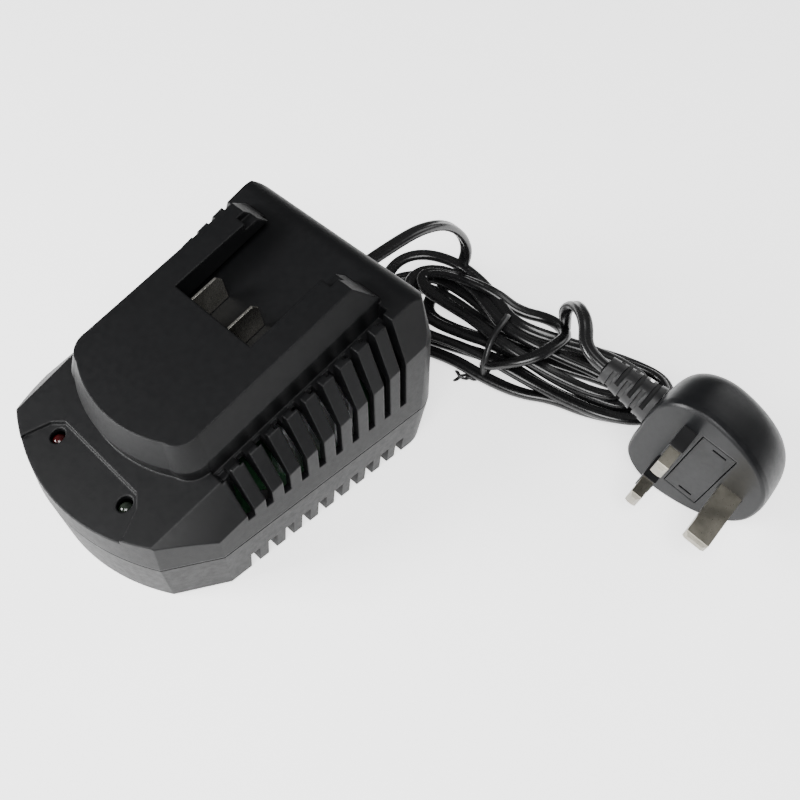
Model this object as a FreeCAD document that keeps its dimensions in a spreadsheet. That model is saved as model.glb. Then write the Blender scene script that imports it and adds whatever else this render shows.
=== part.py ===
import FreeCAD, Part
import math
import os
import Sketcher

# Slide-pack battery charger with a moulded three-pin mains plug.
# Frame: +X right, +Y rear (cord side), +Z up, indicators toward -Y.
# Origin: middle of the base of the housing, on the surface it stands on.

V = FreeCAD.Vector
doc = FreeCAD.newDocument("slide_pack_charger")
sheet = doc.addObject("Spreadsheet::Sheet", "Dims")
CELLS = {}


def dim(alias, value):
    row = len(CELLS) + 1
    sheet.set("A%d" % row, str(value))
    sheet.setAlias("A%d" % row, alias)
    CELLS[alias] = float(value)


for alias, value in (
    ("halfwide", 47.7), ("frontlong", 61.1), ("rearlong", 61.1), ("cornerwide", 38.0), ("cornerback", 50.7),
    ("chamferback", 34.0), ("splitz", 19.6), ("skin", 2.4), ("basez", 0.8), ("baseinset", 2.4),
    ("rearround", 11.0), ("topround", 24.0), ("rearedge", 8.0), ("seam", 0.3),
    ("walla", 36.3), ("wallb", 0.245), ("topa", 48.05), ("topb", 0.321), ("creasewide", 37.3),
    ("tonguetop", 60.5), ("tongueslope", 0.282), ("tonguehalf", 29.4), ("tonguefoot", 33.0), ("banddrop", 8.7),
    ("channelhalf", 19.0), ("channelfront", 5.0), ("liptall", 6.4), ("undercut", 3.9),
    ("slotpitch", 7.13), ("slotfirst", -22.0), ("slotwide", 2.8), ("slotcount", 10), ("slotbottom", 28.3),
    ("ledx", 18.5), ("ledy", -47.3), ("ledhole", 5.3), ("ledround", 5.0),
    ("bladethick", 0.8), ("bladelong", 11.3), ("bladetall", 10.6), ("bladeleft", -10.5), ("bladeright", 7.8),
    ("boardlong", 82.0), ("boardwide", 80.0), ("boardthick", 1.6), ("boardz", 9.0),
    ("corelong", 34.0), ("corewide", 40.0), ("coretall", 26.0),
    ("screwx", 33.0), ("screwfront", -22.0), ("screwrear", 46.0), ("shankround", 2.9), ("headround", 5.6),
    ("footround", 9.0), ("footthick", 1.6),
    ("cordwide", 5.0), ("cordthick", 3.2), ("cordexitx", 5.0), ("cordexitz", 49.0),
    ("pinwide", 6.35), ("pinthick", 4.0), ("pinlong", 17.7), ("pinspace", 22.2), ("sleevelong", 9.3),
    ("earthlong", 22.7), ("earthwide", 8.0), ("earththick", 4.0),
    ("fusebarrel", 6.3), ("fuselong", 25.4), ("carrierlong", 30.8), ("carrierwide", 12.2), ("carrierdeep", 10.6),
    ("slipgap", 0.35),
):
    dim(alias, value)
doc.recompute()
D = dict(CELLS)
PARTS = []


def keep(obj, label):
    obj.Label = label
    PARTS.append(obj)
    return obj


def bind(obj, **exprs):
    for prop, expr in exprs.items():
        obj.setExpression(prop, expr)
    return obj


def box(name, l, w, t, pos, rot=None):
    o = doc.addObject("Part::Box", name)
    bind(o, Length=l, Width=w, Height=t)
    o.Placement = FreeCAD.Placement(V(*pos), rot or FreeCAD.Rotation())
    return o


def cyl(name, r, t, pos, rot=None):
    o = doc.addObject("Part::Cylinder", name)
    bind(o, Radius=r, Height=t)
    o.Placement = FreeCAD.Placement(V(*pos), rot or FreeCAD.Rotation())
    return o


def cut(name, a, b):
    o = doc.addObject("Part::Cut", name)
    o.Base, o.Tool = a, b
    return o


def fuse(name, items):
    o = doc.addObject("Part::MultiFuse", name)
    o.Shapes = items
    return o


def feature(name, shape, pos=None, rot=None):
    o = doc.addObject("Part::Feature", name)
    o.Shape = shape
    if pos is not None or rot is not None:
        o.Placement = FreeCAD.Placement(V(*(pos or (0, 0, 0))), rot or FreeCAD.Rotation())
    return o


def solid_box(x0, y0, z0, x1, y1, z1):
    return Part.makeBox(x1 - x0, y1 - y0, z1 - z0, V(x0, y0, z0))


def prism(points, vec):
    pts = [V(*p) for p in points]
    return Part.Face(Part.makePolygon(pts + [pts[0]])).extrude(V(*vec))


def plan_wire(inset, z, rear_inset=None, round_to=None):
    """Outline of the housing seen from above: bowed front, clipped front corners, rounded rear corners."""
    r = round_to or D["rearround"]
    hw = D["halfwide"] - inset
    rear = D["rearlong"] - (inset if rear_inset is None else rear_inset)
    cx = D["cornerwide"] - inset * 0.8
    cy = -D["cornerback"] + inset
    fy = -D["frontlong"] + inset
    by = -D["chamferback"] + inset * 0.75
    k = math.sqrt(0.5)
    e = [
        Part.Arc(V(-cx, cy, z), V(0, fy, z), V(cx, cy, z)).toShape(),
        Part.LineSegment(V(cx, cy, z), V(hw, by, z)).toShape(),
        Part.LineSegment(V(hw, by, z), V(hw, rear - r, z)).toShape(),
        Part.Arc(V(hw, rear - r, z), V(hw - r + r * k, rear - r + r * k, z), V(hw - r, rear, z)).toShape(),
        Part.LineSegment(V(hw - r, rear, z), V(-hw + r, rear, z)).toShape(),
        Part.Arc(V(-hw + r, rear, z), V(-hw + r - r * k, rear - r + r * k, z), V(-hw, rear - r, z)).toShape(),
        Part.LineSegment(V(-hw, rear - r, z), V(-hw, by, z)).toShape(),
        Part.LineSegment(V(-hw, by, z), V(-cx, cy, z)).toShape(),
    ]
    return Part.Wire(e)


def top_at(y):
    return D["topa"] + D["topb"] * y


def wall_at(y):
    return D["walla"] + D["wallb"] * y


def tongue_at(y):
    return D["tonguetop"] + D["tongueslope"] * y


def gutter_at(y):
    return 44.6 + 0.262 * y


# ---------------------------------------------------------------- upper shell
def section(y, inset, drop, low):
    hw = D["halfwide"] - 0.3 - inset
    xc = D["creasewide"] + 0.042 * (y + 45.0) - inset * 0.9
    zt = (top_at(y) - drop) if inset == 0 else min(top_at(y) - drop, gutter_at(y) - drop)
    zw = wall_at(y) - drop * 0.45
    pts = [V(-hw - 0.3, y, low), V(hw + 0.3, y, low), V(hw, y, zw), V(xc, y, zt), V(-xc, y, zt), V(-hw, y, zw)]
    return Part.makePolygon(pts + [pts[0]])


def envelope(inset, drop, low):
    """Body block: inclined deck, steep flanks, straight walls that grow toward the rear."""
    loft = Part.makeLoft([section(-D["frontlong"] - 0.05, inset, drop, low), section(D["rearlong"], inset, drop, low)], True, True)
    # The rear corners grow rounder toward the top.
    low_plan = Part.Face(plan_wire(inset, low)).extrude(V(0, 0, 48.0 - low))
    top_plan = Part.makeLoft([plan_wire(inset, 48.0), plan_wire(inset, 74.0, round_to=D["topround"])], True, True)
    return loft.common(low_plan.fuse(top_plan))


def rear_round(shape, inset):
    """Rounds the top rear edge."""
    r = D["rearedge"] - inset * 0.5
    y = D["rearlong"] - inset
    a = math.atan(D["topb"])
    zt = (top_at(y) - inset)
    ty = y - r * 1.0
    zc = (top_at(ty) - inset) - r * (1 / math.cos(a)) + 0.0
    mid = (math.pi / 2 + a) / 2
    p1 = V(-60, y, zc)
    pm = V(-60, ty + r * math.cos(mid), zc + r * math.sin(mid))
    p2 = V(-60, ty + r * math.cos(math.pi / 2 + a), zc + r * math.sin(math.pi / 2 + a))
    e = [Part.LineSegment(p1, V(-60, y + 5, zc)).toShape(), Part.LineSegment(V(-60, y + 5, zc), V(-60, y + 5, zt + 20)).toShape(),
         Part.LineSegment(V(-60, y + 5, zt + 20), V(-60, p2.y, zt + 20)).toShape(),
         Part.LineSegment(V(-60, p2.y, zt + 20), p2).toShape(), Part.Arc(p2, pm, p1).toShape()]
    tool = Part.Face(Part.Wire(e)).extrude(V(120, 0, 0))
    return shape.cut(tool)


SPLIT = D["splitz"] + D["seam"] / 2
outer = rear_round(envelope(0.0, 0.0, SPLIT), 0.0)
inner = rear_round(envelope(D["skin"], D["skin"], SPLIT - 1.0), D["skin"])

# Tongue that guides the pack: its own frame lies on its inclined top plane.
SLOPE = math.degrees(math.atan(D["tongueslope"]))
STRETCH = 1 / math.cos(math.radians(SLOPE))
Y0 = D["channelfront"]
TONGUE = FreeCAD.Placement(V(0, Y0, tongue_at(Y0)), FreeCAD.Rotation(V(1, 0, 0), SLOPE))


def tongue_wire(half, front, bow, corner, rear, z):
    """Bowed front with tight corners running into straight flanks."""
    f, r = (front - Y0) * STRETCH, (rear - Y0) * STRETCH
    c = corner
    s = f + bow
    k = math.sqrt(0.5)
    e = [
        Part.Arc(V(-half + c, s, z), V(0, f, z), V(half - c, s, z)).toShape(),
        Part.Arc(V(half - c, s, z), V(half - c * 0.22, s + c * 0.46, z), V(half, s + c * 1.35, z)).toShape(),
        Part.LineSegment(V(half, s + c * 1.35, z), V(half, r, z)).toShape(),
        Part.LineSegment(V(half, r, z), V(-half, r, z)).toShape(),
        Part.LineSegment(V(-half, r, z), V(-half, s + c * 1.35, z)).toShape(),
        Part.Arc(V(-half, s + c * 1.35, z), V(-half + c * 0.22, s + c * 0.46, z), V(-half + c, s, z)).toShape(),
    ]
    return Part.Wire(e)


BAND = D["banddrop"] * math.cos(math.radians(SLOPE))
band = Part.makeLoft([tongue_wire(D["tonguefoot"], -42.0, 6.3, 7.5, 43.6, -BAND), tongue_wire(D["tonguehalf"], -37.6, 5.6, 6.5, 37.8, 0)], True, True)
foot = Part.Face(tongue_wire(D["tonguefoot"], -42.0, 6.3, 7.5, 43.6, -34)).extrude(V(0, 0, 34 - BAND))
tongue = band.fuse(foot)
tongue.Placement = TONGUE
below = solid_box(-60, -90, SPLIT, 60, 90, 120)
tongue = tongue.common(below)
# The foot stays inside the body block, apart from the part that stands above its deck.
keepzone = Part.Face(plan_wire(0.4, SPLIT)).extrude(V(0, 0, 90))
tongue = tongue.common(keepzone)

# Channel between the rails, open to the rear, with an undercut below each lip.
ch = D["channelhalf"]
lo = prism([(-ch, Y0, top_at(Y0)), (-ch, 90, top_at(90)), (-ch, 90, 130), (-ch, Y0, 130)], (2 * ch, 0, 0))
g = ch + 4.2
under = prism([(-g, Y0, top_at(Y0)), (-g, 90, top_at(90)), (-g, 90, top_at(90) + D["undercut"]), (-g, Y0, top_at(Y0) + D["undercut"])], (2 * g, 0, 0))
tongue = tongue.cut(lo).cut(under)
# Small stepped lead-in at the inner rear end of each lip.
for sx in (-1, 1):
    x0, x1 = (ch - 1, ch + 4.2) if sx > 0 else (-ch - 4.2, -ch + 1)
    lead = prism([(x0, 34.6, tongue_at(34.6) - 2.6), (x0, 60, tongue_at(60) - 2.6), (x0, 60, 130), (x0, 34.6, 130)], (x1 - x0, 0, 0))
    tongue = tongue.cut(lead)

shell = outer.fuse(tongue)

# Hollow inside: body, then the space under the front of the tongue.
shell = shell.cut(inner)
hump_low = prism([(-26.6, -31.0, 30), (26.6, -31.0, 30), (26.6, 2.4, 30), (-26.6, 2.4, 30)], (0, 0, 60))
under_top = prism([(-60, -60, tongue_at(-60) - 2.5), (-60, 60, tongue_at(60) - 2.5), (-60, 60, 0), (-60, -60, 0)], (120, 0, 0))
shell = shell.cut(hump_low.common(under_top))
mid = prism([(-17.5, 1.5, 30), (17.5, 1.5, 30), (17.5, 52.0, 30), (-17.5, 52.0, 30)], (0, 0, 60))
under_deck = prism([(-60, -60, top_at(-60) - 2.5), (-60, 60, top_at(60) - 2.5), (-60, 60, 0), (-60, -60, 0)], (120, 0, 0))
shell = shell.cut(mid.common(under_deck))

# Gutter along each side of the tongue, where the vent slots end.
for sx in (-1, 1):
    a, b = (D["tonguefoot"], 37.0)
    pts = [(sx * a, -24.6, gutter_at(-24.6)), (sx * a, 45.4, gutter_at(45.4)), (sx * a, 45.4, 130), (sx * a, -24.6, 130)]
    trough = prism(pts, (sx * (b - a), 0, 0))
    shell = shell.cut(trough)
    # Vent slots through the wall and the flank; the ribs between them keep a stepped inner end.
    for i in range(int(D["slotcount"])):
        yc = D["slotfirst"] + i * D["slotpitch"]
        w = D["slotwide"] / 2
        x0, x1 = sorted((sx * 34.0, sx * 52.0))
        shell = shell.cut(solid_box(x0, yc - w, D["slotbottom"], x1, yc + w, 100))
        x0, x1 = sorted((sx * 36.5, sx * 38.6))
        z0 = top_at(yc) - 4.0
        shell = shell.cut(solid_box(x0, yc - w - 1.3, z0, x1, yc + w, 100))

# Indicator recess in the front deck, with two holes.
fz = lambda y, dz: top_at(y) - dz
rec = prism([(-24.5, -70, fz(-70, 1.4)), (-24.5, -41.0, fz(-41.0, 1.4)), (-24.5, -41.0, 60), (-24.5, -70, 60)], (49.0, 0, 0))
plan = [V(-27.5, -70, 20), V(-27.5, -54.4, 20), V(-23.6, -46.3, 20), V(-19.5, -43.2, 20), V(19.5, -43.2, 20), V(23.6, -46.3, 20), V(27.5, -54.4, 20), V(27.5, -70, 20)]
outline = Part.Face(Part.makePolygon(plan + [plan[0]])).extrude(V(0, 0, 50))
rec = prism([(-30, -70, fz(-70, 1.4)), (-30, -41.0, fz(-41.0, 1.4)), (-30, -41.0, 60), (-30, -70, 60)], (60, 0, 0)).common(outline)
shell = shell.cut(rec)
for sx in (-1, 1):
    shell = shell.cut(Part.makeCylinder(D["ledhole"] / 2, 30, V(sx * D["ledx"], D["ledy"], 20)))

# Slots in the channel's front wall that the two blades pass through.
for bx in (D["bladeleft"], D["bladeright"]):
    shell = shell.cut(solid_box(bx - D["bladethick"] / 2 - 0.25, 1.0, top_at(0) + 0.2, bx + D["bladethick"] / 2 + 0.25, Y0 + 0.5, 58.4))
# Hole for the cord grommet in the rear wall.
gx, gz = D["cordexitx"], D["cordexitz"]
shell = shell.cut(Part.makeCylinder(4.6, 12, V(gx, D["rearlong"] - 8, gz), V(0, 1, 0)))

# Screw bosses under the roof.
for sx in (-1, 1):
    for sy in (D["screwfront"], D["screwrear"]):
        boss = Part.makeCylinder(3.6, 60, V(sx * D["screwx"], sy, SPLIT)).common(rear_round(envelope(0.6, 0.6, SPLIT), 0.6))
        roof = prism([(-60, -60, gutter_at(-60) - 0.8), (-60, 60, gutter_at(60) - 0.8), (-60, 60, 0), (-60, -60, 0)], (120, 0, 0))
        shell = shell.fuse(boss.common(roof))
        shell = shell.cut(Part.makeCylinder(1.3, 13, V(sx * D["screwx"], sy, SPLIT - 1)))
if len(shell.Solids) > 1:
    shell = max(shell.Solids, key=lambda q: q.Volume)
keep(feature("UpperShell", shell), "upper_shell")

# ---------------------------------------------------------------- lower shell
TOPL = D["splitz"] - D["seam"] / 2
bi = D["baseinset"]
lower = Part.makeLoft([plan_wire(bi, D["basez"]), plan_wire(0.0, TOPL)], True, True)
cavity = Part.makeLoft([plan_wire(bi + D["skin"], D["basez"] + D["skin"]), plan_wire(D["skin"], TOPL + 0.2)], True, True)
lower = lower.cut(cavity)
lip = Part.Face(plan_wire(D["skin"] + 0.15, TOPL - 3)).extrude(V(0, 0, 4.8)).cut(Part.Face(plan_wire(D["skin"] + 1.35, TOPL - 4)).extrude(V(0, 0, 8)))
lip = lip.common(Part.Face(plan_wire(D["skin"] + 0.15, 0)).extrude(V(0, 0, 40)))
keep_lip = solid_box(-60, -70, TOPL - 2.0, 60, 70, TOPL + 1.8)
lower = lower.fuse(lip.common(keep_lip))
for sx in (-1, 1):
    for i in range(int(D["slotcount"])):
        yc = D["slotfirst"] + i * D["slotpitch"] - 0.3
        x0, x1 = sorted((sx * 38.5, sx * 52.0))
        lower = lower.cut(solid_box(x0, yc - 1.75, -1, x1, yc + 1.75, 8.6))
    for sy in (D["screwfront"], D["screwrear"]):
        lower = lower.fuse(Part.makeCylinder(3.6, TOPL - D["basez"] - 0.5, V(sx * D["screwx"], sy, D["basez"] + 0.5)))
        lower = lower.cut(Part.makeCylinder(1.75, 40, V(sx * D["screwx"], sy, -5)))
        lower = lower.cut(Part.makeCylinder(D["headround"] / 2 + 0.3, 5.3 + 5, V(sx * D["screwx"], sy, -5)))
    for fy in (-38.0, 30.0):
        # Pockets for the feet.
        lower = lower.cut(Part.makeCylinder(D["footround"] / 2 + 0.1, 1.6, V(sx * 29.0, fy, 0.0)))
for px, py in ((-34, -8), (34, -8), (-34, 34), (34, 34)):
    lower = lower.fuse(Part.makeCylinder(3.0, D["boardz"] - D["basez"] - 1.0, V(px, py, D["basez"] + 1.0)))
    lower = lower.cut(Part.makeCylinder(1.1, 6.5, V(px, py, 3.3)))
lower = lower.removeSplitter()
if len(lower.Solids) > 1:
    lower = max(lower.Solids, key=lambda q: q.Volume)
keep(feature("LowerShell", lower), "lower_shell")

# ---------------------------------------------------------------- circuit board and what stands on it
board = doc.addObject("PartDesign::Body", "Board")
sk = board.newObject("Sketcher::SketchObject", "BoardSketch")
for o in board.Origin.OriginFeatures:
    if o.Role == "XY_Plane":
        sk.AttachmentSupport = [(o, "")]
sk.MapMode = "FlatFace"
bw, bl = D["boardwide"] / 2, D["boardlong"] / 2
corners = [V(-bw, -bl, 0), V(bw, -bl, 0), V(bw, bl, 0), V(-bw, bl, 0)]
for i in range(4):
    sk.addGeometry(Part.LineSegment(corners[i], corners[(i + 1) % 4]), False)
for i in range(4):
    sk.addConstraint(Sketcher.Constraint("Coincident", i, 2, (i + 1) % 4, 1))
sk.addConstraint(Sketcher.Constraint("Horizontal", 0))
sk.addConstraint(Sketcher.Constraint("Vertical", 1))
sk.addConstraint(Sketcher.Constraint("Horizontal", 2))
sk.addConstraint(Sketcher.Constraint("Vertical", 3))
c1 = sk.addConstraint(Sketcher.Constraint("DistanceX", 0, 1, 0, 2, D["boardwide"]))
c2 = sk.addConstraint(Sketcher.Constraint("DistanceY", 1, 1, 1, 2, D["boardlong"]))
sk.setExpression("Constraints[%d]" % c1, "Dims.boardwide")
sk.setExpression("Constraints[%d]" % c2, "Dims.boardlong")
for hx, hy, hr in ((-34, -21, 1.6), (34, -21, 1.6), (-34, 21, 1.6), (34, 21, 1.6), (-33, -35, 4.0), (33, -35, 4.0), (-33, 33, 4.0), (33, 33, 4.0)):
    sk.addGeometry(Part.Circle(V(hx, hy, 0), V(0, 0, 1), hr), False)
pad = board.newObject("PartDesign::Pad", "BoardPad")
pad.Profile = sk
pad.setExpression("Length", "Dims.boardthick")
board.Tip = pad
board.Placement = FreeCAD.Placement(V(0, 13.0, D["boardz"]), FreeCAD.Rotation())
keep(board, "circuit_board")
BT = D["boardz"] + D["boardthick"]

core = box("CoreBlock", "Dims.corewide", "Dims.corelong", "Dims.coretall", (-20, 14, BT + 0.05))
win1 = box("CoreWindowA", "Dims.corewide / 6", "Dims.corelong + 4", "Dims.coretall - 10", (-20 + 6.5, 12, BT + 5.05))
win2 = box("CoreWindowB", "Dims.corewide / 6", "Dims.corelong + 4", "Dims.coretall - 10", (-20 + 26.8, 12, BT + 5.05))
keep(cut("TransformerCore", cut("CoreCutA", core, win1), win2), "transformer_core")
bob = box("BobbinBlock", "Dims.corewide * 0.64", "Dims.corelong + 10", "Dims.coretall - 10.6", (-12.8, 9.0, BT + 5.35))
bobhole = box("BobbinHole", "Dims.corewide / 3 + 0.6", "Dims.corelong + 0.4", "Dims.coretall + 10", (-7.1, 13.8, BT - 2))
keep(cut("TransformerWinding", bob, bobhole), "transformer_winding")

hs = box("HeatSinkPlate", "3", "30", "20", (26, 2, BT + 0.05))
fins = [box("HeatSinkFin%d" % i, "6", "1.4", "20", (28.9, 3 + i * 6.6, BT + 0.05)) for i in range(5)]
keep(fuse("HeatSink", [hs] + fins), "heat_sink")
keep(cyl("BulkCapacitor", "7", "19", (-28, 0, BT + 0.05)), "bulk_capacitor")
caps = [cyl("SmallCap%d" % i, "3.2", "10", (x, y, BT + 0.05)) for i, (x, y) in enumerate(((-10, -10), (2, -12), (16, -8)))]
keep(doc.addObject("Part::Compound", "SmallCapacitors"), "small_capacitors")
PARTS[-1].Links = caps
bf = cyl("BoardFuse", "2.6", "20", (-27, 14, BT + 3.0), FreeCAD.Rotation(V(-1, 0, 0), 90))
keep(bf, "board_fuse")

# Board screws: pan heads on the board, shanks in the posts.
bs = []
for i, (x, y) in enumerate(((-34, -8), (34, -8), (-34, 34), (34, 34))):
    h = cyl("BoardScrewHead%d" % i, "2.6", "1.8", (x, y, BT + 0.02))
    s = cyl("BoardScrewShank%d" % i, "1.1", "6.2", (x, y, BT - 6.0))
    bs.append(fuse("BoardScrew%d" % i, [h, s]))
keep(doc.addObject("Part::Compound", "BoardScrews"), "board_screws")
PARTS[-1].Links = bs

# Indicators: 5 mm domed lamps with a rim, standing on two leads each.
for nm, sx in (("charge_indicator", -1), ("ready_indicator", 1)):
    zt = top_at(D["ledy"]) - 1.4 - 0.7
    b = cyl("Lamp" + nm, "Dims.ledround / 2", "6.1", (sx * D["ledx"], D["ledy"], zt - 8.6))
    dome = doc.addObject("Part::Sphere", "Dome" + nm)
    dome.setExpression("Radius", "Dims.ledround / 2")
    dome.Placement.Base = V(sx * D["ledx"], D["ledy"], zt - 2.5)
    rim = cyl("Rim" + nm, "Dims.ledround / 2 + 0.4", "1", (sx * D["ledx"], D["ledy"], zt - 8.6))
    leads = [box("Lead%s%d" % (nm, k), "0.5", "0.5", str(round(zt - 8.6 - BT + 0.1, 2)), (sx * D["ledx"] - 0.25 + dx, D["ledy"] - 0.25, BT - 0.05)) for k, dx in enumerate((-1.27, 1.27))]
    keep(fuse("Led_" + nm, [b, dome, rim] + leads), nm)
# Carrier board for the indicators, clipped in front of the main board.
led_board = box("IndicatorBoard", "46", "9", "1.6", (-23, -51.8, D["boardz"]))
keep(led_board, "indicator_board")

# Terminal block in the tongue, and the two blades that enter the battery pack.
tb = box("TerminalBody", "27", "12", "9", (-15, -10.4, 45.2))
tbs = [box("TerminalSlot%d" % i, "Dims.bladethick + 0.1", "14", "12", (bx - D["bladethick"] / 2 - 0.05, -8.4, 46.6)) for i, bx in enumerate((D["bladeleft"], D["bladeright"]))]
keep(cut("TerminalBlock", cut("TerminalCut", tb, tbs[0]), tbs[1]), "terminal_block")
for nm, bx in (("positive_blade", D["bladeleft"]), ("negative_blade", D["bladeright"])):
    y1 = Y0 + D["bladelong"]
    zf = lambda y: top_at(y) + 0.35
    zt = lambda y: tongue_at(y) - 0.3
    t = D["bladethick"]
    prof = [(bx - t / 2, -7.6, 50.6), (bx - t / 2, Y0 - 0.5, 50.6), (bx - t / 2, Y0 - 0.5, zf(Y0)), (bx - t / 2, Y0 + 0.2, zf(Y0) + 0.1), (bx - t / 2, y1 + 2.2, zf(y1 + 2.2)),
            (bx - t / 2, y1 + 0.9, zt(y1) - 2.0), (bx - t / 2, y1 - 1.2, zt(y1 - 1.2)), (bx - t / 2, Y0 + 0.2, zt(Y0 + 0.2)), (bx - t / 2, Y0 + 0.2, 58.0), (bx - t / 2, 1.4, 58.0), (bx - t / 2, 1.4, 54.4), (bx - t / 2, -7.6, 54.0)]
    blade = prism(prof, (t, 0, 0))
    keep(feature("Blade_" + nm, blade), nm)


def tube_along(points, wide, thick, label):
    """Flat two-core lead along straight runs joined by tangent arcs; returns an elliptical-section solid."""
    P = [V(*p) for p in points]
    edges = []
    prev = P[0]
    radii = []
    for i in range(1, len(P) - 1):
        a, b = (P[i - 1] - P[i]), (P[i + 1] - P[i])
        la, lb = a.Length, b.Length
        a.normalize()
        b.normalize()
        turn = math.pi - a.getAngle(b)
        r = 0.45 * min(la, lb) / math.tan(turn / 2)
        d = 0.45 * min(la, lb)
        radii.append(round(r, 1))
        q1, q2 = P[i] + a * d, P[i] + b * d
        bis = (a + b)
        bis.normalize()
        centre = P[i] + bis * math.sqrt(r * r + d * d)
        m = centre - bis * r
        if (q1 - prev).Length > 1e-4:
            edges.append(Part.LineSegment(prev, q1).toShape())
        edges.append(Part.Arc(q1, m, q2).toShape())
        prev = q2
    edges.append(Part.LineSegment(prev, P[-1]).toShape())
    wire = Part.Wire(edges)
    start = (P[1] - P[0])
    start.normalize()
    prof = Part.Wire([Part.Circle(P[0], start, wide / 2).toShape()])
    tube = wire.makePipeShell([prof], True, False)
    ideal = math.pi * wide * wide / 4 * wire.Length
    print("%s length %.1f mm, radii %s, volume ratio %.4f" % (label, wire.Length, radii, tube.Volume / ideal))
    return tube, wire.Length


# Inner leads from the board to the terminal block.
il = []
for bx, xs in ((D["bladeleft"], -14.0), (D["bladeright"], 12.0)):
    pipe, _ = tube_along([(xs, -22, BT + 0.05), (xs, -22, 24), (xs * 0.95, -18, 36), (bx, -12.5, 44.6), (bx, -11.2, 50.0)], 1.8, 1.8, "inner lead")
    il.append(pipe)
keep(feature("InnerLeads", Part.makeCompound(il)), "inner_leads")

# Case screws from below.
cs = []
for i, (sx, sy) in enumerate(((-1, "screwfront"), (1, "screwfront"), (-1, "screwrear"), (1, "screwrear"))):
    x, y = sx * D["screwx"], D[sy]
    h = cyl("CaseScrewHead%d" % i, "Dims.headround / 2", "2.2", (x, y, 3.1))
    s = cyl("CaseScrewShank%d" % i, "Dims.shankround / 2", "24", (x, y, 5.0))
    n1 = box("CaseScrewSlotA%d" % i, "3.2", "0.7", "1.2", (x - 1.6, y - 0.35, 2.6))
    n2 = box("CaseScrewSlotB%d" % i, "0.7", "3.2", "1.2", (x - 0.35, y - 1.6, 2.6))
    cs.append(cut("CaseScrew%d" % i, fuse("CaseScrewBody%d" % i, [h, s]), fuse("CaseScrewCross%d" % i, [n1, n2])))
keep(doc.addObject("Part::Compound", "CaseScrews"), "case_screws")
PARTS[-1].Links = cs
ft = [cyl("Foot%d" % i, "Dims.footround / 2", "Dims.footthick", (x, y, 0.0)) for i, (x, y) in enumerate(((-29, -38), (29, -38), (-29, 30), (29, 30)))]
keep(doc.addObject("Part::Compound", "RubberFeet"), "rubber_feet")
PARTS[-1].Links = ft

# ---------------------------------------------------------------- cord grommet, cord, hank, tie
ry = D["rearlong"]
turn_back = FreeCAD.Rotation(V(-1, 0, 0), 90)
g1 = cyl("GrommetFlangeIn", "5.4", "1.8", (gx, ry - 2.5 - 1.8, gz), turn_back)
g2 = cyl("GrommetNeck", "4.5", "4", (gx, ry - 3.0, gz), turn_back)
g3 = cyl("GrommetFlangeOut", "6.0", "2.0", (gx, ry + 0.05, gz), turn_back)
g4 = doc.addObject("Part::Cone", "GrommetTaper")
bind(g4, Radius1="4.4", Radius2="3.2", Height="4.0")
g4.Placement = FreeCAD.Placement(V(gx, ry + 1.6, gz), turn_back)
g5 = doc.addObject("Part::Cone", "GrommetSleeve")
bind(g5, Radius1="2.9", Radius2="3.6", Height="14")
g5.Placement = FreeCAD.Placement(V(gx, ry - 17.0, gz), turn_back)
keep(fuse("CordGrommet", [g1, g2, g3, g4, g5]), "cord_grommet")

GEND = (gx, ry + 5.6, gz)
lead_pts = [GEND, (5.0, 79.0, 49.4), (5.0, 93.0, 48.8), (4.4, 107.0, 42.8), (3.4, 118.0, 31.0), (2.4, 123.5, 18.0), (1.2, 119.5, 7.5), (0.4, 112.0, 4.4)]
lead, lead_len = tube_along(lead_pts, D["cordwide"], D["cordthick"], "cord lead")
keep(feature("CordLead", lead), "cord_lead")


def octagon(cx, cy, ux, uy, wide, z0, z1):
    """Section of the hank across its own axis: flat below, rounded above."""
    h, w = z1 - z0, wide / 2
    prof = [(-w * 0.86, z0), (w * 0.86, z0), (w, z0 + h * 0.3), (w * 0.92, z0 + h * 0.66), (w * 0.55, z1), (-w * 0.55, z1), (-w * 0.92, z0 + h * 0.66), (-w, z0 + h * 0.3)]
    pts = [V(cx + ux * a, cy + uy * a, z) for a, z in prof]
    return Part.makePolygon(pts + [pts[0]])


hank_sections = []
for cx, cy, turn, wide, z1 in (
    (-21.5, 99.5, 0, 20, 11.5), (-15, 100, 0, 36, 13), (2, 100.5, 2, 43, 14), (22, 101, 8, 34, 15), (32, 100.5, 14, 26, 15.6), (37.5, 100.0, 17, 24, 15.8),
    (42.5, 101.5, 18, 25, 15.8), (50, 107.5, 18, 35, 16), (58, 110, 18, 34, 15), (72, 114, 18, 33, 10.5), (90, 120.0, 18, 34, 8.6), (98.5, 121.5, 18, 26, 7), (103, 122.5, 18, 14, 6),
):
    r = math.radians(turn)
    hank_sections.append(octagon(cx, cy, -math.sin(r), math.cos(r), wide, 0.3, z1))
hank = Part.makeLoft(hank_sections, True, True)
hank = hank.cut(lead)
keep(feature("CordHank", hank), "cord_hank")

nx, ny = -0.31, 0.951
ax = V(ny, -nx, 0)
ax.normalize()
tc = V(39.3, 100.2, 0)
tie_pts = [(-13.1, 0.25), (12.4, 0.25), (13.2, 6.0), (12.4, 12.6), (7.6, 17.6), (-7.6, 17.6), (-12.4, 12.6), (-13.5, 6.0)]


def ring(pts):
    p = [V(tc.x - ax.x * 1.3 + nx * a, tc.y - ax.y * 1.3 + ny * a, z) for a, z in pts]
    return Part.Face(Part.makePolygon(p + [p[0]])).extrude(V(ax.x * 2.6, ax.y * 2.6, 0))


tie = ring(tie_pts).cut(hank)
tie = tie.removeSplitter()
tie = max(tie.Solids, key=lambda q: q.Volume)
keep(feature("CordTie", tie), "cord_tie")

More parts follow.
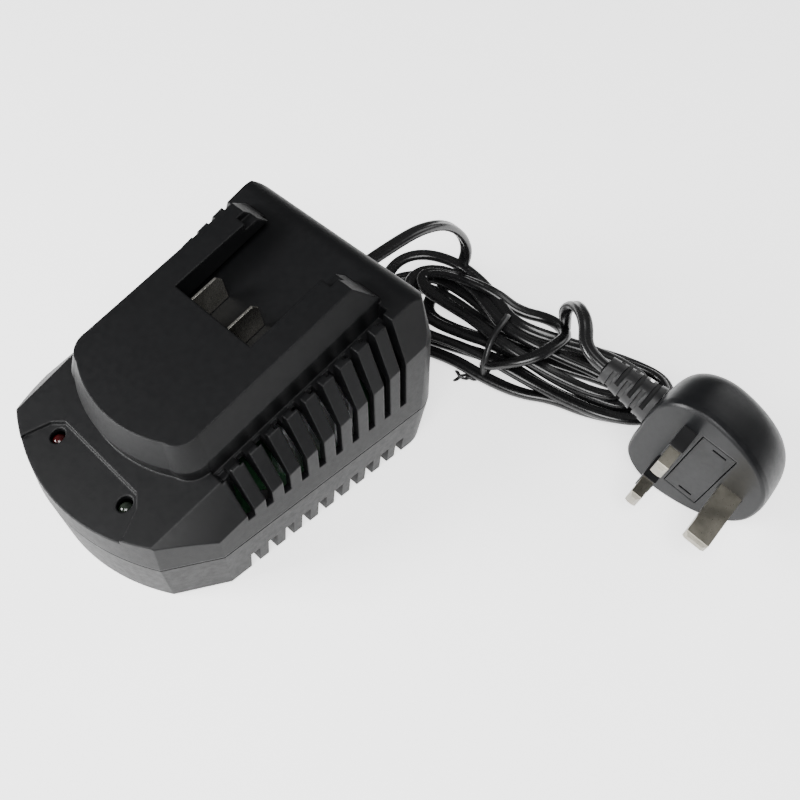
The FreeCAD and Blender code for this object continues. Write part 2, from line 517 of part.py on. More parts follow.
# ---------------------------------------------------------------- mains plug, lying on its side edge
PX, PY = V(-0.25, 0.028, -0.9679), V(0.9631, 0.11, -0.2456)
PX.normalize()
PY = PY - PX * PX.dot(PY)
PY.normalize()
PZ = PX.cross(PY)
m = FreeCAD.Matrix(PX.x, PY.x, PZ.x, 0, PX.y, PY.y, PZ.y, 0, PX.z, PY.z, PZ.z, 0, 0, 0, 0, 1)
PLUG = FreeCAD.Placement(V(120.5, 92.8, 25.1), FreeCAD.Placement(m).Rotation)


def at(x, y, z):
    return PLUG.multiply(FreeCAD.Placement(V(x, y, z), FreeCAD.Rotation()))


def plug_outline(k, z, shift=0.0):
    """Smooth closed outline of the plug at one depth, broad at the earth end's shoulders and square at the cord end."""
    pts = [(0.0, -13.2), (9.5, -13.0), (16.6, -11.6), (21.6, -7.2), (24.2, 0.0), (23.6, 9.0), (20.6, 18.5), (15.2, 26.6), (8.0, 31.3), (0.0, 32.6),
           (-8.0, 31.3), (-15.2, 26.6), (-20.6, 18.5), (-23.6, 9.0), (-24.2, 0.0), (-21.6, -7.2), (-16.6, -11.6), (-9.5, -13.0)]
    c = Part.BSplineCurve()
    c.interpolate([V(x * k, (y - 9) * k + 9 + shift, z) for x, y in pts], PeriodicFlag=True)
    return Part.Wire([c.toShape()])


body = Part.makeLoft([plug_outline(0.955, 0), plug_outline(0.985, -0.7), plug_outline(1.0, -2.4)], True, True)
dome = Part.makeLoft([plug_outline(1.0, -2.4), plug_outline(1.0, -6.5), plug_outline(0.985, -12.5), plug_outline(0.92, -18.0), plug_outline(0.80, -21.4), plug_outline(0.62, -22.8)], True, False)
body = body.fuse(dome)
sg = D["slipgap"]
cl, cw, cd = D["carrierlong"], D["carrierwide"], D["carrierdeep"]
body = body.cut(solid_box(-cl / 2 - sg, 4.3 - sg, -cd - 0.5, cl / 2 + sg, 4.3 + cw + sg, 1))
hp, pt, pw = D["pinspace"] / 2, D["pinthick"] / 2, D["pinwide"] / 2
for sx in (-1, 1):
    body = body.cut(solid_box(sx * hp - pw, -pt, -9, sx * hp + pw, pt, 1))
body = body.cut(solid_box(-D["earththick"] / 2, 22.2 - D["earthwide"] / 2, -9, D["earththick"] / 2, 22.2 + D["earthwide"] / 2, 1))
boot_hole = Part.makeCylinder(3.6, 6, V(0.0, -14.5, -10.0), V(0, 1, 0))
body = body.cut(boot_hole)
pb = feature("PlugBody", body)
pb.Placement = PLUG
keep(pb, "plug_body")

b1 = doc.addObject("Part::Cone", "BootCone")
bind(b1, Radius1="7.2", Radius2="4.6", Height="20.5")
b1.Placement = PLUG.multiply(FreeCAD.Placement(V(0, -13.3, -10), FreeCAD.Rotation(V(1, 0, 0), 90)))
b2 = doc.addObject("Part::Cylinder", "BootSpigot")
bind(b2, Radius="3.5", Height="4.2")
b2.Placement = PLUG.multiply(FreeCAD.Placement(V(0, -9.4, -10), FreeCAD.Rotation(V(1, 0, 0), 90)))
grooves = []
for i in range(6):
    gbox = doc.addObject("Part::Box", "BootGroove%d" % i)
    across = i % 2 == 0
    bind(gbox, Length="12" if across else "24", Width="1.6", Height="24" if across else "12")
    for sgn in (1, -1):
        piece = gbox if sgn == 1 else doc.addObject("Part::Box", "BootGrooveB%d" % i)
        if sgn == -1:
            bind(piece, Length="12" if across else "24", Width="1.6", Height="24" if across else "12")
        x = (2.3 if sgn == 1 else -14.3) if across else -12
        z = -22 if across else (-10 + 2.3 if sgn == 1 else -10 - 14.3)
        piece.Placement = PLUG.multiply(FreeCAD.Placement(V(x, -17.2 - i * 2.75, z), FreeCAD.Rotation()))
        grooves.append(piece)
boot = cut("PlugBoot", fuse("BootBody", [b1, b2]), fuse("BootGrooves", grooves))
keep(boot, "plug_strain_relief")


def pin(name, w, th, ln, x, y, label, deep=8.0):
    o = doc.addObject("Part::Box", name)
    bind(o, Length=w, Width=th, Height="%s + %s" % (ln, deep))
    o.Placement = at(x, y, -deep)
    c = doc.addObject("Part::Chamfer", name + "Tip")
    c.Base = o
    doc.recompute()
    idx = [k + 1 for k, e in enumerate(o.Shape.Edges) if all(abs(PLUG.inverse().multVec(v.Point).z - max(PLUG.inverse().multVec(q.Point).z for q in o.Shape.Vertexes)) < 1e-3 for v in e.Vertexes)]
    c.Edges = [(k, 1.1, 1.1) for k in idx]
    return keep(c, label)


pin("LivePin", "Dims.pinwide", "Dims.pinthick", "Dims.pinlong", -hp - pw, -pt, "live_pin")
pin("NeutralPin", "Dims.pinwide", "Dims.pinthick", "Dims.pinlong", hp - pw, -pt, "neutral_pin")
pin("EarthPin", "Dims.earththick", "Dims.earthwide", "Dims.earthlong", -D["earththick"] / 2, 22.2 - D["earthwide"] / 2, "earth_pin")
# Insulating sleeves over the roots of the live and neutral pins: thin collars in the pins' own profile.
sl = []
for k, sx in enumerate((-1, 1)):
    a = solid_box(sx * hp - pw - 0.45, -pt - 0.45, 0.02, sx * hp + pw + 0.45, pt + 0.45, D["sleevelong"])
    b = solid_box(sx * hp - pw, -pt, -1, sx * hp + pw, pt, 20)
    sl.append(a.cut(b))
so = feature("PinSleeves", Part.makeCompound(sl))
so.Placement = PLUG
keep(so, "pin_sleeves")

# Fuse carrier: pulls straight out of the plug's face with its fuse.
car = doc.addObject("Part::Box", "CarrierBlock")
bind(car, Length="Dims.carrierlong", Width="Dims.carrierwide", Height="Dims.carrierdeep")
car.Placement = at(-cl / 2, 4.3, -cd)
seat = doc.addObject("Part::Cylinder", "CarrierSeat")
bind(seat, Radius="Dims.fusebarrel / 2 + 0.05", Height="Dims.fuselong + 0.4")
seat.Placement = PLUG.multiply(FreeCAD.Placement(V(-D["fuselong"] / 2 - 0.2, 10.4, -6.4), FreeCAD.Rotation(V(0, 1, 0), 90)))
slotb = doc.addObject("Part::Box", "CarrierMouth")
bind(slotb, Length="Dims.fuselong + 0.4", Width="Dims.fusebarrel - 0.8", Height="8")
slotb.Placement = at(-D["fuselong"] / 2 - 0.2, 10.4 - 2.75, -14.4)
n1 = doc.addObject("Part::Box", "CarrierNickA")
bind(n1, Length="0.9", Width="5", Height="2.4")
n1.Placement = at(-cl / 2 + 1.7, 9.0, -1.8)
n2 = doc.addObject("Part::Box", "CarrierNickB")
bind(n2, Length="0.9", Width="5", Height="2.4")
n2.Placement = at(cl / 2 - 2.6, 9.0, -1.8)
keep(cut("FuseCarrier", car, fuse("CarrierCuts", [seat, slotb, n1, n2])), "fuse_carrier")
fz_ = doc.addObject("Part::Cylinder", "PlugFuse")
bind(fz_, Radius="Dims.fusebarrel / 2", Height="Dims.fuselong")
fz_.Placement = PLUG.multiply(FreeCAD.Placement(V(-D["fuselong"] / 2, 10.4, -6.4), FreeCAD.Rotation(V(0, 1, 0), 90)))
keep(fz_, "plug_fuse")

# Tail: out of the hank, up in a small arch and into the strain relief.
bend = PLUG.multVec(V(0, -33.8, -10))
back = PLUG.Rotation.multVec(V(0, -1, 0))
b0 = bend + back * 9.0
tail_pts = [tuple(bend), tuple(b0), (71.5, 107.0, 39.4), (61.0, 115.2, 35.5), (55.5, 117.6, 27.5), (54.0, 118.0, 15.4)]
tail, tail_len = tube_along(tail_pts, D["cordwide"], D["cordthick"], "cord tail")
tail = tail.cut(hank)
if len(tail.Solids) > 1:
    tail = max(tail.Solids, key=lambda q: q.Volume)
keep(feature("CordTail", tail), "cord_tail")
ob = pb.Shape.optimalBoundingBox()
print("tail starts at", bend, "plug box", ob)

# ---------------------------------------------------------------- checks and export
doc.recompute()
bad = [o.Name for o in doc.Objects if "Invalid" in o.State or "Error" in o.State]
if bad:
    raise RuntimeError("failed objects: %s" % bad)
os.makedirs("parts", exist_ok=True)
for o in PARTS:
    s = o.Shape
    if s.isNull() or not s.isValid() or not s.Solids:
        raise RuntimeError("bad shape: %s" % o.Label)
for o in PARTS:
    s = o.Shape
    s.exportStep(os.path.join("parts", o.Label + ".step"))
    bb = s.BoundBox
    print("%-22s solids %d vol %.0f box %.1f %.1f %.1f .. %.1f %.1f %.1f" % (o.Label, len(s.Solids), s.Volume, bb.XMin, bb.YMin, bb.ZMin, bb.XMax, bb.YMax, bb.ZMax))
print("nodes", len(PARTS))
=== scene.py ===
import bpy
import math
from mathutils import Matrix, Vector


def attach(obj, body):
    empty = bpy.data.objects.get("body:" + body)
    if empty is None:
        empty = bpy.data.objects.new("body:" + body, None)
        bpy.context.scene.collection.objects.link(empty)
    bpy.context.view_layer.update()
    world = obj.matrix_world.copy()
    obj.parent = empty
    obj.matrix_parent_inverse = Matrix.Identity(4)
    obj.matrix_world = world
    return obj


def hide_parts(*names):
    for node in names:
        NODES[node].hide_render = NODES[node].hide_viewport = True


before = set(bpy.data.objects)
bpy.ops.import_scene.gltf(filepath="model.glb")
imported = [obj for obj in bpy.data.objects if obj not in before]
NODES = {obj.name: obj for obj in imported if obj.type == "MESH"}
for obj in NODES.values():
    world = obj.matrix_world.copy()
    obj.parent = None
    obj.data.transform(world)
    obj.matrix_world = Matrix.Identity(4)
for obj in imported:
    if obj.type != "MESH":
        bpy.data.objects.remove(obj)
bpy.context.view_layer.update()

MM = 0.001
scene = bpy.context.scene

# ---------------------------------------------------------------- camera
az, el, roll = math.radians(44.97), math.radians(49.13), math.radians(0.46)
eye = Vector((199.4, -111.3, 280.4)) * MM
back = Vector((math.sin(az) * math.cos(el), -math.cos(az) * math.cos(el), math.sin(el)))
right = (-back).cross(Vector((0, 0, 1))).normalized()
up = right.cross(-back)
down = -up
r0 = right * math.cos(roll) - down * math.sin(roll)
r1 = right * math.sin(roll) + down * math.cos(roll)
cam_data = bpy.data.cameras.new("Camera")
cam_data.sensor_width = 36.0
cam_data.lens = 45.0
cam_data.dof.use_dof = False
cam_data.clip_start = 0.01
cam_data.clip_end = 20
cam = bpy.data.objects.new("Camera", cam_data)
scene.collection.objects.link(cam)
cam.matrix_world = Matrix(((r0.x, -r1.x, back.x, eye.x), (r0.y, -r1.y, back.y, eye.y), (r0.z, -r1.z, back.z, eye.z), (0, 0, 0, 1)))
scene.camera = cam


# ---------------------------------------------------------------- helpers
def link(obj):
    scene.collection.objects.link(obj)
    return obj


def mesh_object(name, verts, faces, smooth=True):
    me = bpy.data.meshes.new(name)
    me.from_pydata([tuple(v) for v in verts], [], faces)
    me.validate()
    me.update()
    for p in me.polygons:
        p.use_smooth = smooth
    return link(bpy.data.objects.new(name, me))


def sweep(name, path, sides, section, closed=False):
    """Mesh that carries a closed section along points; sides are the section's own first axis at each point."""
    n, m = len(path), len(section)
    verts, faces = [], []
    for i in range(n):
        a = path[(i - 1) % n] if (closed or i > 0) else path[0]
        b = path[(i + 1) % n] if (closed or i < n - 1) else path[-1]
        t = (b - a).normalized()
        s = (sides[i] - t * sides[i].dot(t)).normalized()
        u = t.cross(s)
        for x, y in section:
            verts.append(path[i] + s * x + u * y)
    for i in range(n if closed else n - 1):
        j = (i + 1) % n
        for k in range(m):
            l = (k + 1) % m
            faces.append((i * m + k, i * m + l, j * m + l, j * m + k))
    if not closed:
        faces.append(tuple(reversed(range(m))))
        faces.append(tuple((n - 1) * m + k for k in range(m)))
    return mesh_object(name, verts, faces)


def spline_points(points, order=3, resolution=16):
    """Points read from a smooth spline with these control points."""
    cu = bpy.data.curves.new("route", "CURVE")
    cu.dimensions = "3D"
    cu.resolution_u = resolution
    sp = cu.splines.new("NURBS")
    sp.points.add(len(points) - 1)
    for p, c in zip(sp.points, points):
        p.co = (c[0] * MM, c[1] * MM, c[2] * MM, 1.0)
    sp.order_u = order
    sp.use_endpoint_u = True
    ob = link(bpy.data.objects.new("route", cu))
    bpy.context.view_layer.update()
    me = bpy.data.meshes.new_from_object(ob.evaluated_get(bpy.context.evaluated_depsgraph_get()))
    pts = [v.co.copy() for v in me.vertices]
    bpy.data.objects.remove(ob)
    bpy.data.curves.remove(cu)
    bpy.data.meshes.remove(me)
    out = [pts[0]]
    for p in pts[1:]:
        if (p - out[-1]).length > 1e-5:
            out.append(p)
    return out


def even(pts, step):
    """The same line with points about a step apart."""
    out, need = [pts[0].copy()], step
    for a, b in zip(pts, pts[1:]):
        seg = (b - a).length
        pos = 0.0
        while seg - pos >= need:
            pos += need
            out.append(a.lerp(b, pos / seg))
            need = step
        need -= seg - pos
    if (out[-1] - pts[-1]).length > step * 0.3:
        out.append(pts[-1].copy())
    else:
        out[-1] = pts[-1].copy()
    return out


# ---------------------------------------------------------------- materials
def principled(name):
    m = bpy.data.materials.new(name)
    m.use_nodes = True
    return m, m.node_tree, m.node_tree.nodes["Principled BSDF"]


def noise(nt, co, scale, detail=3.0, rough=0.55):
    n = nt.nodes.new("ShaderNodeTexNoise")
    n.inputs["Scale"].default_value = scale
    n.inputs["Detail"].default_value = detail
    n.inputs["Roughness"].default_value = rough
    nt.links.new(co, n.inputs["Vector"])
    return n.outputs["Fac"]


def span(nt, value, lo_, hi_, a=0.3, b=0.7):
    r = nt.nodes.new("ShaderNodeMapRange")
    for k, v in (("From Min", a), ("From Max", b), ("To Min", lo_), ("To Max", hi_)):
        r.inputs[k].default_value = v
    nt.links.new(value, r.inputs["Value"])
    return r.outputs["Result"]


def mixed(nt, fac, c1, c2):
    m = nt.nodes.new("ShaderNodeMix")
    m.data_type = "RGBA"
    m.inputs["A"].default_value = (*c1, 1)
    m.inputs["B"].default_value = (*c2, 1)
    nt.links.new(fac, m.inputs["Factor"])
    return m.outputs["Result"]


def bump(nt, height, strength, distance, normal=None):
    b = nt.nodes.new("ShaderNodeBump")
    b.inputs["Strength"].default_value = strength
    b.inputs["Distance"].default_value = distance
    nt.links.new(height, b.inputs["Height"])
    if normal is not None:
        nt.links.new(normal, b.inputs["Normal"])
    return b.outputs["Normal"]


def soft_edge(nt, radius):
    b = nt.nodes.new("ShaderNodeBevel")
    b.samples = 6
    b.inputs["Radius"].default_value = radius
    return b.outputs["Normal"]


def plastic(name, c1, c2, r1_, r2_, grain=5200.0, grain_depth=0.00006, strength=0.35, edge=0.0006, spec=0.5, coat=0.0):
    m, nt, p = principled(name)
    co = nt.nodes.new("ShaderNodeTexCoord").outputs["Object"]
    large = noise(nt, co, 38.0, 4.0)
    fine = noise(nt, co, grain, 2.0, 0.6)
    mid = noise(nt, co, 520.0, 4.0)
    nt.links.new(mixed(nt, span(nt, large, 0, 1), c1, c2), p.inputs["Base Color"])
    nt.links.new(span(nt, mid, r1_, r2_), p.inputs["Roughness"])
    p.inputs["Specular IOR Level"].default_value = spec
    if coat:
        p.inputs["Coat Weight"].default_value = coat
        p.inputs["Coat Roughness"].default_value = 0.25
    n0 = soft_edge(nt, edge) if edge else None
    n1_ = bump(nt, fine, strength, grain_depth, n0)
    n2_ = bump(nt, large, 0.12, 0.0004, n1_)
    nt.links.new(n2_, p.inputs["Normal"])
    return m


def metal(name, c1, c2, r1_, r2_, lines=(1, 1, 14), edge=0.0002):
    m, nt, p = principled(name)
    tc = nt.nodes.new("ShaderNodeTexCoord").outputs["Object"]
    mp = nt.nodes.new("ShaderNodeMapping")
    mp.inputs["Scale"].default_value = lines
    nt.links.new(tc, mp.inputs["Vector"])
    brushed = noise(nt, mp.outputs["Vector"], 700.0, 5.0)
    blot = noise(nt, tc, 160.0, 4.0)
    p.inputs["Metallic"].default_value = 1.0
    nt.links.new(mixed(nt, span(nt, blot, 0, 1), c1, c2), p.inputs["Base Color"])
    nt.links.new(span(nt, brushed, r1_, r2_), p.inputs["Roughness"])
    nt.links.new(bump(nt, brushed, 0.25, 0.00003, soft_edge(nt, edge)), p.inputs["Normal"])
    return m


MAT = {
    # The upper shell uses the same black plastic as the lower shell, painted darker: this is painted shade that keeps
    # the case's top darker than its lower sides.
    "upper": plastic("upper_plastic_painted_shade", (0.0021, 0.0022, 0.0025), (0.003, 0.0031, 0.0035), 0.42, 0.5, edge=0.0008, spec=0.22),
    "lower": plastic("lower_plastic", (0.003, 0.003, 0.0032), (0.0042, 0.0042, 0.0045), 0.46, 0.56, edge=0.0006, spec=0.25),
    "plug": plastic("plug_plastic", (0.003, 0.0032, 0.0038), (0.0044, 0.0046, 0.0052), 0.34, 0.44, grain=3400.0, strength=0.22, edge=0.0009, spec=0.26),
    "boot": plastic("boot_rubber", (0.005, 0.005, 0.0054), (0.007, 0.007, 0.0074), 0.36, 0.48, grain=2600.0, strength=0.2, edge=0.0005, spec=0.36),
    "carrier": plastic("carrier_plastic", (0.003, 0.0032, 0.0038), (0.0048, 0.005, 0.0056), 0.38, 0.5, grain=3000.0, strength=0.2, edge=0.0003, spec=0.28),
    "sleeve": plastic("sleeve_plastic", (0.006, 0.006, 0.0064), (0.008, 0.008, 0.0084), 0.35, 0.45, grain=2600.0, strength=0.15, edge=0.0003, spec=0.36),
    "grommet": plastic("grommet_rubber", (0.005, 0.005, 0.0054), (0.007, 0.007, 0.0074), 0.4, 0.52, grain=2600.0, strength=0.2, edge=0.0005),
    "foot": plastic("foot_rubber", (0.03, 0.03, 0.03), (0.04, 0.04, 0.04), 0.7, 0.85, grain=2600.0, strength=0.4, edge=0.0003),
    "cord": plastic("cord_sheath", (0.0045, 0.0045, 0.0048), (0.006, 0.006, 0.0064), 0.2, 0.32, grain=1500.0, grain_depth=0.00003, strength=0.14, edge=0.0),
    "tie": plastic("tie_plastic", (0.005, 0.005, 0.0054), (0.007, 0.007, 0.0074), 0.3, 0.42, grain=1800.0, strength=0.15, edge=0.0002),
    "board": plastic("board_laminate", (0.012, 0.05, 0.02), (0.02, 0.075, 0.03), 0.35, 0.5, grain=1200.0, strength=0.1, edge=0.0002),
    "ferrite": plastic("ferrite", (0.05, 0.05, 0.055), (0.08, 0.08, 0.085), 0.45, 0.7, grain=1600.0, strength=0.3, edge=0.0004),
    "tape": plastic("winding_tape", (0.6, 0.45, 0.06), (0.7, 0.52, 0.1), 0.25, 0.4, grain=900.0, strength=0.15, edge=0.0006),
    "cap": plastic("capacitor_sleeve", (0.02, 0.03, 0.08), (0.03, 0.04, 0.1), 0.2, 0.35, grain=900.0, strength=0.1, edge=0.0006),
    "terminal": plastic("terminal_plastic", (0.04, 0.04, 0.045), (0.055, 0.055, 0.06), 0.45, 0.6, grain=1900.0, strength=0.2, edge=0.0003),
    "lead": plastic("lead_sheath", (0.3, 0.015, 0.015), (0.4, 0.025, 0.02), 0.35, 0.5, grain=1500.0, strength=0.1, edge=0.0),
    "ceramic": plastic("fuse_ceramic", (0.75, 0.74, 0.7), (0.82, 0.81, 0.77), 0.2, 0.35, grain=1200.0, strength=0.1, edge=0.0003),
    "blade": metal("blade_metal", (0.4, 0.39, 0.35), (0.55, 0.53, 0.49), 0.22, 0.38, (1, 9, 1)),
    "pin": metal("pin_metal", (0.2, 0.19, 0.16), (0.34, 0.32, 0.27), 0.26, 0.42, (6, 1, 6)),
    "screw": metal("screw_metal", (0.5, 0.5, 0.5), (0.62, 0.62, 0.62), 0.3, 0.45),
    "sink": metal("sink_metal", (0.7, 0.7, 0.72), (0.8, 0.8, 0.82), 0.35, 0.5),
}


def lamp(name, colour, inner):
    m, nt, p = principled(name)
    co = nt.nodes.new("ShaderNodeTexCoord").outputs["Object"]
    nt.links.new(mixed(nt, span(nt, noise(nt, co, 900.0, 3.0), 0, 1), colour, inner), p.inputs["Base Color"])
    p.inputs["Roughness"].default_value = 0.12
    p.inputs["Transmission Weight"].default_value = 0.45
    p.inputs["IOR"].default_value = 1.5
    nt.links.new(bump(nt, noise(nt, co, 300.0, 2.0), 0.08, 0.0001), p.inputs["Normal"])
    return m


MAT["lamp_red"] = lamp("lamp_red", (0.03, 0.0015, 0.002), (0.05, 0.003, 0.004))
MAT["lamp_clear"] = lamp("lamp_clear", (0.014, 0.02, 0.014), (0.03, 0.038, 0.028))
MAT["glass"] = lamp("fuse_glass", (0.75, 0.8, 0.8), (0.85, 0.9, 0.9))


def paint(obj, key):
    obj.data.materials.clear()
    obj.data.materials.append(MAT[key])


# ---------------------------------------------------------------- cord
# One flat two-core cord: out of the grommet, five turns in a tied hank, round the hank once and up to the plug.
PLUG_END = (86.9509, 99.0174, 33.9453)
LEAD = [(5.0, 66.7, 49.0), (5.0, 79.0, 49.4), (5.0, 93.0, 48.8), (4.4, 107.0, 42.8), (3.4, 118.0, 31.0), (2.4, 123.5, 18.0), (1.2, 119.5, 7.5), (0.4, 112.0, 4.4)]
TURNS = [
    (0.0, 104.0, 3.4), (6.0, 98.0, 3.2), (18.0, 98.5, 4.0), (30.0, 100.5, 6.0), (39.0, 102.0, 6.0), (50.0, 107.0, 6.0), (62.0, 113.0, 4.0),
    (76.0, 120.0, 3.2), (87.0, 122.5, 2.6), (91.5, 116.5, 2.6), (88.0, 110.0, 2.6), (78.0, 104.5, 2.6), (64.0, 100.5, 3.2), (52.0, 98.5, 5.4),
    (41.0, 96.5, 6.0), (28.0, 92.5, 4.4), (14.0, 88.0, 3.2), (0.0, 86.5, 2.6), (-10.0, 90.5, 2.6), (-13.5, 99.0, 3.0), (-9.0, 106.0, 4.0),
    (4.0, 108.5, 5.4), (22.0, 107.5, 7.0), (37.0, 107.0, 7.0), (50.0, 113.5, 5.6), (66.0, 121.5, 3.4), (82.0, 129.0, 2.6), (93.0, 130.5, 2.6),
    (98.0, 122.0, 2.6), (94.5, 111.5, 2.6), (82.0, 103.0, 2.6), (68.0, 99.0, 2.6), (58.0, 92.5, 2.6), (44.0, 88.3, 3.6), (30.0, 86.5, 4.4),
    (14.0, 82.0, 2.8), (-3.0, 80.5, 2.6), (-15.0, 86.0, 2.6), (-19.0, 96.0, 3.2), (-15.5, 105.5, 5.4), (-3.0, 112.0, 8.4), (10.0, 112.5, 9.4),
    (24.0, 110.6, 10.4), (37.0, 107.5, 11.4), (47.0, 110.5, 10.6), (57.0, 116.5, 8.8), (66.0, 125.0, 7.0), (80.0, 132.5, 5.4), (93.0, 135.0, 5.0),
    (101.0, 127.0, 4.4), (99.5, 113.5, 4.6), (88.0, 104.5, 5.0), (74.0, 100.6, 5.0), (60.0, 97.6, 6.0), (50.0, 94.6, 8.2), (41.5, 92.8, 9.0),
    (28.0, 90.0, 8.4), (12.0, 86.5, 6.0), (-4.0, 87.0, 5.4), (-15.0, 93.0, 7.0), (-19.0, 101.5, 10.0), (-17.5, 110.0, 12.0), (-11.0, 117.0, 12.4),
    (1.0, 120.5, 12.6), (14.0, 119.0, 13.0), (26.0, 114.6, 13.8), (37.0, 109.6, 14.6), (46.0, 110.5, 14.0), (57.0, 117.0, 11.6), (67.0, 123.0, 9.6),
    (80.0, 127.5, 8.0), (90.0, 127.0, 7.0), (94.0, 120.0, 6.6), (90.0, 111.5, 6.6), (78.0, 107.0, 6.6), (64.0, 104.0, 7.6), (52.0, 102.0, 10.0),
    (40.0, 99.5, 10.6), (28.0, 96.0, 9.0), (14.0, 93.0, 7.4), (1.0, 94.5, 7.0), (-8.0, 100.0, 8.4), (-9.0, 108.0, 10.6), (0.0, 114.5, 12.2),
    (14.0, 114.2, 12.8), (26.0, 110.0, 13.4), (38.0, 104.6, 14.8), (50.0, 106.0, 13.8), (62.0, 111.5, 10.2), (74.0, 117.0, 8.0), (84.0, 118.5, 7.4),
    (87.0, 113.0, 8.0), (80.0, 107.5, 8.8), (68.0, 104.0, 9.6), (55.0, 100.0, 12.6), (42.0, 97.6, 14.8), (28.0, 101.0, 12.4), (12.0, 102.0, 10.4),
    (-1.0, 101.5, 11.0), (-5.5, 106.0, 13.0), (3.0, 110.6, 15.0), (14.0, 113.0, 16.2), (25.0, 116.0, 15.2), (34.5, 118.0, 11.0),
]
WRAP = [
    (45.5, 125.0, 9.8), (56.0, 121.0, 12.6), (59.5, 111.5, 16.6), (57.0, 98.0, 15.8), (46.5, 90.0, 10.6), (40.5, 91.5, 4.8), (42.0, 99.0, 2.6),
    (47.0, 109.0, 2.6), (50.5, 120.0, 2.6), (52.5, 126.0, 7.6), (54.0, 121.0, 18.0), (55.5, 117.6, 27.5), (61.0, 115.2, 35.5), (71.5, 107.0, 39.4),
    (78.2825, 98.0273, 36.16), PLUG_END,
]
route = spline_points(LEAD + TURNS + WRAP)
path = even(route, 1.3 * MM)


def lying(path):
    """Wide direction of the flat cord: level where it can be, eased along the cord and rolled a little."""
    n = len(path)
    sides = []
    prev = Vector((1, 0, 0))
    for i in range(n):
        t = (path[min(i + 1, n - 1)] - path[max(i - 1, 0)]).normalized()
        s = t.cross(Vector((0, 0, 1)))
        w = min(1.0, s.length * 1.3)
        carried = prev - t * prev.dot(t)
        carried.normalize()
        if s.length > 1e-4:
            s.normalize()
            if s.dot(carried) < 0:
                s = -s
        else:
            s = carried
        s = (s * w * 0.35 + carried * (1 - w * 0.35)).normalized()
        prev = s
        sides.append(s)
    for _ in range(12):
        sides = [(sides[max(i - 1, 0)] + sides[i] * 2 + sides[min(i + 1, n - 1)]).normalized() for i in range(n)]
    out = []
    for i in range(n):
        t = (path[min(i + 1, n - 1)] - path[max(i - 1, 0)]).normalized()
        q = i * 1.3
        a = 0.30 * math.sin(q * 0.041 + 0.7) + 0.22 * math.sin(q * 0.093 + 2.1)
        ease = min(1.0, i / 60.0, (n - 1 - i) / 50.0)
        out.append(Matrix.Rotation(a * ease, 3, t) @ sides[i])
    return out


def twin_section(radius, offset, steps=9):
    pts = []
    a0 = math.pi - math.acos(offset / radius)
    for sgn in (1, -1):
        for k in range(steps + 1):
            a = -a0 + 2 * a0 * k / steps
            x, y = offset + radius * math.cos(a), radius * math.sin(a)
            pts.append((sgn * x, sgn * y))
    # the shared groove points appear once each
    keep = []
    for p in pts:
        if not keep or (Vector(p) - Vector(keep[-1])).length > radius * 0.05:
            keep.append(p)
    if (Vector(keep[0]) - Vector(keep[-1])).length < radius * 0.05:
        keep.pop()
    return keep


cord = sweep("flat_cord", path, lying(path), twin_section(1.56 * MM, 1.0 * MM))
paint(cord, "cord")
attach(cord, "charger")
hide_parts("cord_lead", "cord_hank", "cord_tail")

# ---------------------------------------------------------------- tie
n_tie = Vector((-0.31, 0.951, 0)).normalized()
a_tie = Vector((n_tie.y, -n_tie.x, 0))
c_tie = Vector((39.3, 100.2, 0))
ring = [(-12.9, 3.6), (-12.6, 8.4), (-9.6, 13.4), (-3.6, 17.2), (3.6, 18.0), (9.4, 17.0), (12.0, 12.6), (12.2, 6.8), (9.6, 2.6), (3.6, 0.8), (-4.0, 0.5), (-10.2, 0.7), (-12.9, 2.0)]
tie_ctrl = [tuple(c_tie + n_tie * a + Vector((0, 0, z)) + a_tie * (0.5 * math.sin(a * 0.3))) for a, z in ring]
tie_path = even(spline_points(tie_ctrl), 0.8 * MM)
strip = [(1.15, 0.32), (0.5, 0.38), (0.32, 0.62), (-0.32, 0.62), (-0.5, 0.38), (-1.15, 0.32), (-1.15, -0.32), (-0.5, -0.38), (-0.32, -0.62), (0.32, -0.62), (0.5, -0.38), (1.15, -0.32)]
strip = [(x * MM, y * MM) for x, y in strip]
tie = sweep("twist_tie", tie_path, [a_tie.copy() for _ in tie_path], strip)
paint(tie, "tie")
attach(tie, "charger")
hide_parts("cord_tie")
# Its two ends, twisted together beside the hank.
knot = c_tie + n_tie * -12.9
tails = []
for k, ph in enumerate((0.0, math.pi)):
    pts = []
    for i in range(26):
        u = i / 25
        base = Vector((knot.x, knot.y, 2.6)) + Vector((-0.86, -0.5, 0)) * (u * 10.0) + Vector((0, 0, -1.3 * u))
        a = ph + u * 9.0
        r = 0.75 * min(1.0, u * 4) if u < 0.75 else 0.75 + (u - 0.75) * 5.0
        pts.append((base + Vector((0.5, -0.86, 0)) * (r * math.cos(a)) + Vector((0, 0, 1)) * (r * math.sin(a) * 0.8)) * MM)
    tails.append((pts, [Vector((0.5, -0.86, 0)) * math.cos(ph + i / 25 * 9.0 + 1.2) + Vector((0, 0, 1)) * math.sin(ph + i / 25 * 9.0 + 1.2) for i in range(26)]))
for k, (pts, sides) in enumerate(tails):
    ob = sweep("twist_tie_end_%d" % (k + 1), pts, sides, [(x * 0.55, y * 0.8) for x, y in strip])
    paint(ob, "tie")
    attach(ob, "charger")
    tails[k] = ob

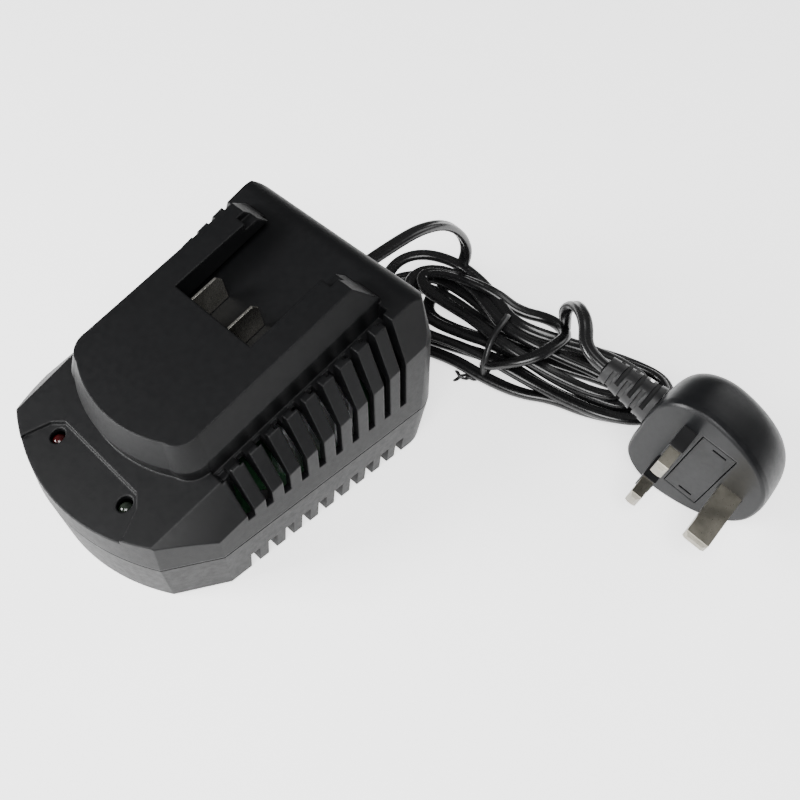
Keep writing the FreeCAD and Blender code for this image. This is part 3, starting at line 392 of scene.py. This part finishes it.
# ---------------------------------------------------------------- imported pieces: finishes
for node, key in (
    ("upper_shell", "upper"), ("lower_shell", "lower"), ("circuit_board", "board"), ("indicator_board", "board"), ("transformer_core", "ferrite"),
    ("transformer_winding", "tape"), ("heat_sink", "sink"), ("bulk_capacitor", "cap"), ("small_capacitors", "cap"), ("board_fuse", "glass"),
    ("board_screws", "screw"), ("charge_indicator", "lamp_red"), ("ready_indicator", "lamp_clear"), ("terminal_block", "terminal"),
    ("positive_blade", "blade"), ("negative_blade", "blade"), ("inner_leads", "lead"), ("case_screws", "screw"), ("rubber_feet", "foot"),
    ("cord_grommet", "grommet"), ("plug_body", "plug"), ("plug_strain_relief", "boot"), ("live_pin", "pin"), ("neutral_pin", "pin"),
    ("earth_pin", "pin"), ("pin_sleeves", "sleeve"), ("fuse_carrier", "carrier"), ("plug_fuse", "ceramic"),
):
    ob = NODES[node]
    for sl in ob.material_slots:
        sl.material = MAT[key]
    if not ob.material_slots:
        ob.data.materials.append(MAT[key])

# ---------------------------------------------------------------- floor and light
floor = mesh_object("floor", [(-3, -3, 0), (3, -3, 0), (3, 3, 0), (-3, 3, 0)], [(0, 1, 2, 3)], smooth=False)
fm, nt, p = principled("floor_paper")
co = nt.nodes.new("ShaderNodeTexCoord").outputs["Object"]
nt.links.new(mixed(nt, span(nt, noise(nt, co, 30.0, 3.0), 0, 1), (0.9, 0.9, 0.9), (0.92, 0.92, 0.92)), p.inputs["Base Color"])
p.inputs["Roughness"].default_value = 0.85
p.inputs["Emission Color"].default_value = (1, 1, 1, 1)
p.inputs["Emission Strength"].default_value = 1.5
floor.data.materials.append(fm)

world = bpy.data.worlds.new("World")
scene.world = world
world.use_nodes = True
world.node_tree.nodes["Background"].inputs["Color"].default_value = (1, 1, 1, 1)
world.node_tree.nodes["Background"].inputs["Strength"].default_value = 0.16


def area(name, pos, target, size, power, size_y=None):
    d = bpy.data.lights.new(name, "AREA")
    d.shape = "RECTANGLE"
    d.size, d.size_y = size, size_y or size
    d.energy = power
    o = link(bpy.data.objects.new(name, d))
    o.location = pos
    o.rotation_mode = "QUATERNION"
    o.rotation_quaternion = (Vector(target) - Vector(pos)).to_track_quat("-Z", "Y")
    return o


area("key", (0.62, -0.62, 1.15), (0.04, 0.04, 0.0), 0.9, 34.0)
area("rear", (0.25, 1.2, 0.75), (0.05, 0.08, 0.0), 0.8, 5.0)
area("band", (-0.62, -1.05, 0.52), (0.0, -0.02, 0.05), 0.6, 40.0)
